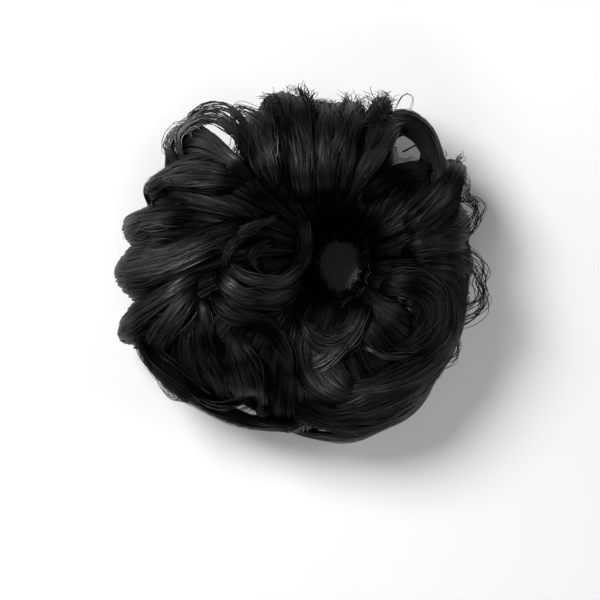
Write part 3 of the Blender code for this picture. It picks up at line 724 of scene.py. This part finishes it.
def top_lock(bundle, lock, rng):
    """Core, strands and loose strands of one lock laid over the others."""
    _, height, over, light, count, points = lock
    path = Path(points, height, over)
    top_core(bundle, path, height, over)
    kinds = max(4, count // 8)
    groups = np.sort(rng.integers(0, kinds, count))
    number = np.arange(count)
    spot = np.linspace(-0.97, 0.97, kinds) + rng.normal(0, 0.4 / kinds, kinds)
    v = np.clip(spot[groups] + rng.normal(0, 0.55 / kinds, count), -1.03, 1.03)
    rows = int(np.clip(path.length / SEGMENT, 9, 30))
    start = (0.12 if over else 0.2) * rng.random(count) ** 1.4
    end = 1 - (0.08 if over else 0.3) * rng.random(count) ** 1.4
    short = rng.random(count) < 0.25
    start = np.where(short, rng.uniform(0, 0.35, count), start)
    end = np.where(short & (rng.random(count) < 0.5), rng.uniform(0.7, 1, count), end)
    share = np.linspace(0, 1, rows)[None]
    at = start[:, None] + (end - start)[:, None] * share
    along = at * path.length
    beside = (waves(rng, groups, along, 0.15, 0.8, 24, 60)
              + waves(rng, number, along, 0.05, 0.28, 12, 35))
    wander = (rng.random(count) < 0.18)[:, None]
    beside = beside + wander * waves(rng, number, along, 0.8, 2.6, 50, 120)
    ridge = (rng.uniform(-0.7, 0.3, kinds)[groups]
             - 0.35 * ((v - spot[groups]) * kinds / 1.2) ** 2)[:, None]
    deep = -height * 0.22 * rng.random(count)[:, None] ** 2
    extra = ridge + deep + waves(rng, groups, along, 0.05, 0.3, 25, 60)
    extra = extra - 1.2 * (1 - smooth(0, 0.1, share)) - 1.0 * smooth(0.92, 1, share)
    across = np.broadcast_to(v[:, None], at.shape)
    spots = lock_points(path, at, across, height, over, extra, beside)
    # Painted shade at the lock's sides, at its start and, where it ends on the ring, at its end
    side = 0.2 + 0.8 * mound(np.clip(v, -1, 1) * 0.98)[:, None] ** 1.5
    tone_and_painted_light = varied(rng, light * side, groups, kinds, along, 0.2)
    tone_and_painted_light = tone_and_painted_light * (0.15 + 0.85 * smooth(0.03, 0.33, at))
    if not over:
        tone_and_painted_light = tone_and_painted_light * (1 - 0.7 * smooth(0.72, 0.95, at))
    bundle.tubes(rng, spots, share, tone_and_painted_light, (end - start) * path.length)
    flyaways(bundle, path, height, over, rng, max(3, count // 10))


def throat(bundle, rng, count=70, rows=22, length=40.0):
    """Strands that run round the open middle, over the locks' roots."""
    share = np.linspace(0, 1, rows)[None]
    start = rng.uniform(0, 360, count)[:, None]
    angle = np.radians(start + rng.uniform(50, 150, count)[:, None] * share)
    way = rng.uniform(0.0, 0.24, count)[:, None]
    way = way + rng.uniform(-0.06, 0.06, count)[:, None] * share
    way = way + waves(rng, np.arange(count), share * length, 0.0, 0.02, 20, 50)
    lift = lift_at(angle, way) + throat_bulge(1.8, angle) * near_root(way)
    lift = lift + rng.uniform(0, 0.8, count)[:, None]
    lift = lift - 2.5 * (1 - smooth(0, 0.15, share)) - 2.5 * smooth(0.85, 1, share)
    tone_and_painted_light = np.broadcast_to(rng.uniform(0.15, 0.6, count)[:, None], angle.shape)
    bundle.tubes(rng, place(angle, way, lift), share, tone_and_painted_light, length, THROAT_STRAND)


def flyaways(bundle, path, height, over, rng, count, rows=16):
    """Loose thin strands that lift off a top lock."""
    share = np.linspace(0, 1, rows)[None]
    start = rng.uniform(0.1, 0.5, count)[:, None]
    at = start + rng.uniform(0.2, 0.45, count)[:, None] * share
    beside = waves(rng, np.arange(count), at * path.length, 0.8, 3.4, 25, 70)
    extra = rng.uniform(0.1, 1.2, count)[:, None] * np.sin(np.pi * share) - 0.8 * (1 - share)
    v = np.broadcast_to(rng.uniform(-1.1, 1.1, count)[:, None], at.shape)
    spots = lock_points(path, at, v, height, over, extra, beside)
    tone_and_painted_light = np.broadcast_to(rng.uniform(0.8, 1.6, count)[:, None], at.shape)
    bundle.tubes(rng, spots, share, tone_and_painted_light, 0.3 * path.length, FLYAWAY_STRAND)


def face_height(x, y, level):
    """Height of the hair's top face from above, or the level off the ring."""
    angle, radius = np.arctan2(y, x), np.hypot(x, y)
    way = np.full_like(angle, 0.5)
    for _ in range(4):
        way = top_way(angle, radius, lift_at(angle, way))
    height = place(angle, way, lift_at(angle, way))[..., 2]
    inner, outer = middle_radius(angle), rim_radius(angle)
    off = radius > outer + lift_at(angle, way) * 0.995
    return np.where(off, level, np.maximum(height, level))


def softened(values, reach, spread):
    """Values averaged over the ones beside them."""
    kernel = bell(np.arange(-reach, reach + 1) / spread)
    return np.convolve(np.pad(values, reach, mode="edge"), kernel / kernel.sum(), mode="valid")


def loop_line(level, thick, points):
    """A loop's middle line, its two directions across, its width, height and length."""
    dense = spline(points, 160)
    z = face_height(dense[:, 0], dense[:, 1], level)
    soft = softened(z, 44, 20.0)
    z = np.where(z > level + 0.5, np.maximum(soft, z - 3.0), soft)
    z = softened(z, 14, 6.0) + thick / 2
    spots = np.column_stack([dense[:, :2], z])
    (x, y, z, width), length = evened([dense[:, 0], dense[:, 1], z, dense[:, 2]], spots, 60)
    line = np.stack([x, y, z], -1)
    along = unit(np.gradient(line, axis=0))
    aside = unit(np.cross([0, 0, 1.0], along))
    up = np.cross(along, aside)
    shares = np.linspace(0, 1, 60)
    ends = 1 - smooth(0, 0.18, shares), smooth(0.8, 1, shares)
    for end, at_end in zip(ends, (z[0], z[-1])):
        if at_end < level + thick / 2 + 3:  # beside the ring, so the end is tucked into it
            line[:, :2] *= 1 - 13.0 * end[:, None] / np.hypot(x, y)[:, None]
        else:
            line[:, 2] -= 5.0 * end
    pinch = 0.45 + 0.55 * np.sin(np.pi * shares) ** 0.6
    return line, aside, up, width * pinch, thick * pinch, length


def loop_lock(bundle, loop, rng):
    """Strands of a lock that stands clear of the rim, and its core where it is filled."""
    _, level, thick, count, light, filled, points = loop
    line, aside, up, width, height, length = loop_line(level, thick, points)
    core = filled == "core"
    if core:
        turn = np.linspace(0, 2 * np.pi, 13)[:-1][:, None]
        half, tall = (size[:, None, None] / 2 * LOOP_CORE for size in (width, height))
        rings = line[:, None] + aside[:, None] * half * np.cos(turn)
        bundle.shell((rings + up[:, None] * tall * np.sin(turn))[2:-2:2], TOP_CORE_TONE)
    rows = int(np.clip(length / LOOP_SEGMENT, 10, 30))
    kinds = max(3, count // (7 if core else 3))
    groups = np.sort(rng.integers(0, kinds, count))
    turn = rng.uniform(0, 2 * np.pi, kinds)[groups] + rng.normal(0, 0.3, count)
    out = np.sqrt(rng.uniform(0.6 if core else 0.05, 1, kinds))[groups]
    out = out + rng.normal(0, 0.06, count)
    share = np.linspace(0, 1, rows)[None]
    start, end = rng.uniform(0, 0.12, count)[:, None], 1 - rng.uniform(0, 0.12, count)[:, None]
    at = start + (end - start) * share
    columns = (*line.T, *aside.T, *up.T, width, height)
    *axes, width, height = (np.interp(at, np.linspace(0, 1, 60), column) for column in columns)
    line, aside, up = (np.stack(axes[k:k + 3], -1) for k in (0, 3, 6))
    along = at * length
    number = np.arange(count)
    beside = (out * np.cos(turn))[:, None] * width / 2
    beside = beside + (0.55 if core else 1.0) * waves(rng, groups, along, 0.2, 1.2, 25, 60)
    beside = beside + waves(rng, number, along, 0.1, 0.3, 12, 30)
    above = (out * np.sin(turn))[:, None] * height / 2
    above = above + waves(rng, number, along, 0.1, 0.4, 20, 50)
    spots = line + aside * beside[..., None] + up * above[..., None]
    # Painted light on the loop's upper side and painted shade towards both ends
    tone_and_painted_light = light * (0.45 + 0.55 * smooth(-0.6, 0.8, np.sin(turn))[:, None])
    tone_and_painted_light = tone_and_painted_light * rng.uniform(0.7, 1.25, kinds)[groups][:, None]
    tone_and_painted_light = tone_and_painted_light * rng.uniform(0.8, 1.2, count)[:, None] * (0.25 + 0.75 * smooth(0.03, 0.35, at))
    tone_and_painted_light = tone_and_painted_light * (1 - 0.7 * smooth(0.8, 0.97, at))
    bundle.tubes(rng, spots, share, tone_and_painted_light, length, *LOOP_STRANDS[filled])


def wisps(bundle, row, rng, rows=18):
    """Loose curly strands that bow out past the rim, with light between them."""
    _, first, last, count, reach, low, high = row
    part = (last - first) * 0.3
    share = np.linspace(0, 1, rows)[None]
    start = first + part * rng.random(count)[:, None]
    end = last - part * rng.random(count)[:, None]
    angle = np.radians(start + (end - start) * share)
    way = np.broadcast_to(rng.uniform(low, high, count)[:, None], angle.shape)
    points = place(angle, way, lift_at(angle, way) - 1.2)
    rim = rim_radius(angle) + lift_at(angle, np.full_like(angle, 0.95))
    beyond = rim - np.hypot(points[..., 0], points[..., 1])
    number = np.arange(count)
    length = np.abs(end - start)[:, 0] / 57.3 * 75  # in millimetres along the rim
    along = share * length[:, None]
    bow = np.sin(np.pi * share) ** 0.7
    far = beyond + rng.uniform(0.05, 1.0, count)[:, None] ** 0.6 * reach
    out = far * bow + waves(rng, number, along, 0.2, 0.9, 9, 28) * bow
    points[..., 0] += out * np.cos(angle)
    points[..., 1] += out * np.sin(angle)
    points[..., 2] += waves(rng, number, along, 0.5, 2.0, 15, 40) * bow
    points[..., 2] -= 5 * bow * rng.random(count)[:, None]
    tone_and_painted_light = np.broadcast_to(rng.uniform(0.5, 1.1, count)[:, None], angle.shape)
    bundle.tubes(rng, points, share, tone_and_painted_light, length, *WISP_STRAND)


def frizz(bundle, row, rng, rows=9):
    """Short curly ends in tufts that stick out of the rim."""
    _, first, last, count, length, curl = row
    tufts = max(3, count // 9)
    tuft = rng.integers(0, tufts, count)
    angle = rng.uniform(first, last, tufts)[tuft] + rng.normal(0, 0.8, count)
    angle = np.radians(angle)[:, None]
    way = (rng.uniform(0.7, 0.95, tufts)[tuft] + rng.normal(0, 0.03, count))[:, None]
    share = np.linspace(0, 1, rows)[None]
    base = place(angle, way, lift_at(angle, way) - 1.0)
    out = outward(base)
    out[..., :2] += rng.normal(0, 0.55, (tufts, 1, 2))[tuft] + rng.normal(0, 0.2, (count, 1, 2))
    out = unit(out + [0, 0, 0.15])
    around = np.stack([-np.sin(angle), np.cos(angle), np.zeros_like(angle)], -1)
    reach = length * rng.uniform(0.3, 1.0, tufts)[tuft][:, None]
    reach = reach * rng.uniform(0.6, 1.1, count)[:, None] * share
    turn = rng.uniform(0, 2 * np.pi, count)[:, None]
    turn = turn + 2 * np.pi * rng.uniform(0.3, 1.1, count)[:, None] * share
    swing = curl * rng.uniform(0.4, 1.2, count)[:, None] * share
    points = base + out * reach[..., None] * (1 - 0.25 * share[..., None])
    points = points + around * (swing * np.sin(turn))[..., None]
    points[..., 2] += swing * np.cos(turn)
    tone_and_painted_light = np.broadcast_to(rng.uniform(0.7, 1.1, count)[:, None], (count, rows))
    bundle.tubes(rng, points, share * 0.7 + 0.3, tone_and_painted_light, length, *FRIZZ_STRAND)


# Materials


def new_material(name):
    """New material, its nodes and its shader."""
    material = bpy.data.materials.new(name)
    material.use_nodes = True
    return material, material.node_tree, material.node_tree.nodes["Principled BSDF"]


def fill(tree, node, values):
    """Each value is another node's output to link, a number for an input, or a setting."""
    for key, value in values.items():
        if key not in node.inputs:
            setattr(node, key, value)
        elif isinstance(value, bpy.types.NodeSocket):
            tree.links.new(value, node.inputs[key])
        else:
            node.inputs[key].default_value = value
    return node


def add_node(tree, kind, **values):
    return fill(tree, tree.nodes.new(kind), values)


def add_math(tree, operation, *values):
    """Output of a calculation with outputs and numbers, in their order."""
    node = add_node(tree, "ShaderNodeMath", operation=operation)
    for socket, value in zip(node.inputs, values):
        if isinstance(value, bpy.types.NodeSocket):
            tree.links.new(value, socket)
        else:
            socket.default_value = value
    return node.outputs[0]


def add_ramp(tree, value, dark, light, low=0.0, high=1.0):
    """Colour that goes from dark at the low value to light at the high one."""
    ramp = add_node(tree, "ShaderNodeValToRGB", Fac=value)
    for element, position, colour in zip(ramp.color_ramp.elements, (low, high), (dark, light)):
        element.position = position
        element.color = (*colour, 1)
    return ramp.outputs["Color"]


def hair_material(name, dark, light, rough_low, rough_high, bump, specular):
    """Fine streaks along each strand, from the strands' own length and width."""
    material, tree, shader = new_material(name)
    spot = add_node(tree, "ShaderNodeUVMap", uv_map="UVMap").outputs["UV"]
    long = add_node(tree, "ShaderNodeMapping", Vector=spot, Scale=(0.035, 2.2, 1))
    streak = add_node(tree, "ShaderNodeTexNoise", Vector=long.outputs["Vector"], Scale=1.0,
                      Detail=3.0, Roughness=0.6)
    # The strands' tone holds the hair's own random tone times painted shade and painted highlights
    tone_and_painted_light = add_node(tree, "ShaderNodeAttribute", attribute_name="tone_and_painted_light")
    mixed = add_math(tree, "MULTIPLY", streak.outputs["Fac"], tone_and_painted_light.outputs["Fac"])
    limits = {"From Min": 0.3, "From Max": 0.75, "To Min": rough_high, "To Max": rough_low}
    rough = add_node(tree, "ShaderNodeMapRange", Value=mixed, **limits)
    fine = add_node(tree, "ShaderNodeMapping", Vector=spot, Scale=(0.05, 9.0, 1))
    grain = add_node(tree, "ShaderNodeTexNoise", Vector=fine.outputs["Vector"], Scale=1.0,
                     Detail=2.0)
    relief = add_node(tree, "ShaderNodeBump", Height=grain.outputs["Fac"], Strength=bump,
                      Distance=0.0002)
    way = add_node(tree, "ShaderNodeTangent", direction_type="UV_MAP", uv_map="UVMap")
    fill(tree, shader, {
        "Base Color": add_ramp(tree, mixed, dark, light, 0.12, 0.95), "Metallic": 0.85,
        "Roughness": rough.outputs["Result"], "Normal": relief.outputs["Normal"],
        "Specular IOR Level": specular, "Anisotropic": 0.6, "Anisotropic Rotation": 0.25,
        "Tangent": way.outputs["Tangent"],
    })
    return material


def elastic_material():
    """Knitted cover of the elastic: ribs round it and a fine knit."""
    material, tree, shader = new_material("elastic_cover")
    spot = add_node(tree, "ShaderNodeUVMap", uv_map="UVMap").outputs["UV"]
    ribs = add_node(tree, "ShaderNodeTexWave", Vector=spot, Scale=0.55, Distortion=0.6,
                    Detail=1.0, bands_direction="Y")
    knit = add_node(tree, "ShaderNodeTexVoronoi", Vector=spot, Scale=1.6)
    both = add_math(tree, "MULTIPLY_ADD", knit.outputs["Distance"], 0.5, ribs.outputs["Fac"])
    relief = add_node(tree, "ShaderNodeBump", Height=both, Strength=0.7, Distance=0.0004)
    fill(tree, shader, {
        "Base Color": add_ramp(tree, both, (0.006, 0.006, 0.006), (0.026, 0.025, 0.026)),
        "Normal": relief.outputs["Normal"], "Roughness": 0.8, "Sheen Weight": 0.15,
    })
    return material


hair = hair_material("black_hair", (0.001,) * 3, (0.053, 0.0525, 0.0525), 0.34, 0.52, 0.35, 0.1)
inner_hair = hair_material("inner_black_hair", (0.001,) * 3, (0.012,) * 3, 0.5, 0.7, 0.5, 0.05)
elastic_cover = elastic_material()


def finish_piece(piece, node):
    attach(piece, "root")
    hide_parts(node)


def add_rows(bundle, node, rng, makers):
    """What each maker makes of its rows for this node."""
    for maker, rows in makers:
        for row in rows:
            if row[0] == node:
                maker(bundle, row, rng)


# Wrapping locks and their frizz
for index, (node, *_) in enumerate(WRAPS):
    bundle = Bundle()
    rng = np.random.default_rng(WRAP_SEED + index)
    wrap_core(bundle, index)
    wrap_strands(bundle, index, rng)
    add_rows(bundle, node, rng, [(frizz, FRIZZ)])
    finish_piece(bundle.piece("strands_" + node, hair), node)

# Locks on top and loops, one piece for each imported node
nodes = dict.fromkeys(row[0] for row in TOP_LOCKS + LOOPS + WISPS)
for number, node in enumerate(nodes):
    bundle = Bundle()
    rng = np.random.default_rng(TOP_SEED + number)
    add_rows(bundle, node, rng, [(top_lock, TOP_LOCKS), (loop_lock, LOOPS), (wisps, WISPS)])
    if node == "curl_bottom":
        throat(bundle, rng)
    finish_piece(bundle.piece("strands_" + node, hair), node)


def inner_ring():
    """Inner hair: a closed ring with shallow grooves that run round its section."""
    angle = np.linspace(0, 2 * np.pi, 181)[:-1]
    way = np.linspace(0, 2, 49)[:-1] - 0.5
    a, w = np.meshgrid(angle, way, indexing="ij")
    groove = 0.35 * np.sin(a * 63 + np.sin(w * 5) * 0.8) * np.sin(a * 17 + 1.1)
    rings = place(a, w, -0.3 + groove - notches(a, w) - notches(a, w + 2))
    bundle = Bundle()
    bundle.shell(rings, 0.5, closed=True)
    return bundle.piece("inner_hair_ring", inner_hair)


def elastic_loop():
    """Covered elastic, gathered along its length."""
    bundle = Bundle()
    count = 240
    angle = np.linspace(0, 2 * np.pi, count + 1)[:-1]
    turn = np.linspace(0, 2 * np.pi, 17)[:-1]
    middle, half = (BAND_INNER + BAND_OUTER) / 2, (BAND_OUTER - BAND_INNER) / 2 - 0.1
    gather = 0.16 * np.sin(angle * 60)[:, None] * (0.6 + 0.4 * np.cos(turn))[None]
    across = np.sign(np.cos(turn)) * np.abs(np.cos(turn)) ** 0.7
    up = np.sign(np.sin(turn)) * np.abs(np.sin(turn)) ** 0.7
    radius = middle + (half + gather) * across[None]
    height = 3.2 + (2.8 + gather) * up[None]
    rings = np.stack([radius * np.cos(angle)[:, None], radius * np.sin(angle)[:, None], height], -1)
    bundle.shell(rings, 1.0, closed=True)
    return bundle.piece("elastic_cover_loop", elastic_cover)


finish_piece(inner_ring(), "hair_pad")
finish_piece(elastic_loop(), "elastic_band")


# Floor, light and camera, in metres

FLOOR_REACH = 6.0
LIGHT_TARGET = (0, 0, 0.04)
# name, place, size and power
LIGHTS = [
    ("key", (-0.6, 0.5, 1.05), 0.6, 17),
    ("side", (-1.2, 0.3, 0.6), 0.8, 3),
    ("fill_right", (1.0, 0.1, 0.9), 0.8, 4),
    ("fill_front", (-0.2, -1.0, 1.0), 0.8, 4.5),
]
PICTURE_MIDDLE = (-20.2, -19.2)  # from the open middle, mm
CAMERA_LEVEL = 1.1 + 0.038
CAMERA_SENSOR, CAMERA_LENS = 36, 130.7


def floor():
    mesh = bpy.data.meshes.new("floor")
    corners = [(-1, -1), (1, -1), (1, 1), (-1, 1)]
    points = [(x * FLOOR_REACH, y * FLOOR_REACH, 0) for x, y in corners]
    mesh.from_pydata(points, [], [(0, 1, 2, 3)])
    material, tree, shader = new_material("floor")
    grain = add_node(tree, "ShaderNodeTexNoise", Scale=40.0, Detail=2.0)
    colour = add_ramp(tree, grain.outputs["Fac"], (0.86, 0.86, 0.86), (0.9, 0.9, 0.9))
    fill(tree, shader, {"Base Color": colour, "Roughness": 0.9, "Specular IOR Level": 0.1})
    mesh.materials.append(material)
    plane = bpy.data.objects.new("floor", mesh)
    bpy.context.scene.collection.objects.link(plane)


def area_light(name, location, size, power):
    light = bpy.data.lights.new(name, "AREA")
    light.shape = "DISK"
    light.size = size
    light.energy = power
    lamp = bpy.data.objects.new(name, light)
    bpy.context.scene.collection.objects.link(lamp)
    lamp.location = location
    away = np.array(LIGHT_TARGET) - np.array(location)
    lamp.rotation_euler = (math.atan2(math.hypot(away[0], away[1]), -away[2]), 0,
                           math.atan2(away[1], away[0]) - math.pi / 2)


floor()
for row in LIGHTS:
    area_light(*row)
world = bpy.data.worlds.new("studio")
world.use_nodes = True
world.node_tree.nodes["Background"].inputs["Color"].default_value = (1, 1, 1, 1)
world.node_tree.nodes["Background"].inputs["Strength"].default_value = 0.1
bpy.context.scene.world = world
bpy.context.scene.view_settings.view_transform = "Standard"

camera_data = bpy.data.cameras.new("camera")
camera_data.sensor_width = CAMERA_SENSOR
camera_data.lens = CAMERA_LENS
camera = bpy.data.objects.new("camera", camera_data)
bpy.context.scene.collection.objects.link(camera)
camera.location = (*((MIDDLE[:2] + PICTURE_MIDDLE) * MM), CAMERA_LEVEL)
bpy.context.scene.camera = camera
